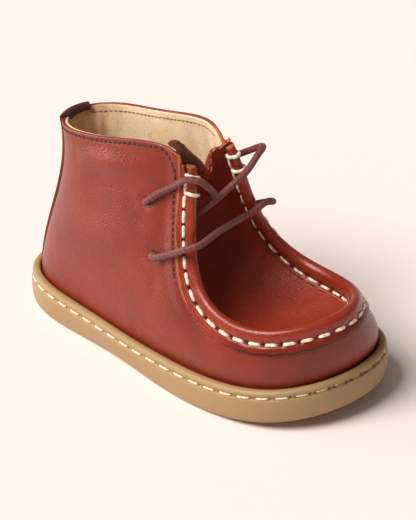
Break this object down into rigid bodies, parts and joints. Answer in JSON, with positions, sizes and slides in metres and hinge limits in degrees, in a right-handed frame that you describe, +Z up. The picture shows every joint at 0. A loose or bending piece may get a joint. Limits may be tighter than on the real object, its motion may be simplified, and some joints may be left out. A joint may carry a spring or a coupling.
{
  "type": "moccasin toe derby ankle boot",
  "caption": "Toddler's moccasin-toe ankle derby for the right foot: gum rubber cup sole, hollow leather upper, rolled apron seam, tongue and laces.",
  "frame": {"origin": "on the floor, under the middle of the outsole", "axes": "+X from heel to toe, +Y to the wearer's left, which is the inner side of this right shoe, +Z up"},
  "size_m": [0.14, 0.0646, 0.0813],
  "materials": {
    "gum_rubber": "satin",
    "footbed_leather": "matte",
    "red_brown_leather": "semi-gloss",
    "apron_leather": "semi-gloss",
    "rolled_leather": "semi-gloss",
    "strip_leather": "semi-gloss",
    "waxed_cord": "waxed"
  },
  "bodies": {
    "root": {"outsole": "gum_rubber", "insole": "footbed_leather", "upper": "red_brown_leather", "apron_tongue": "apron_leather", "seam_roll": "rolled_leather", "heel_strip": "strip_leather", "lace_crossing": "waxed_cord", "lace_bar": "waxed_cord"}
  },
  "joints": []
}
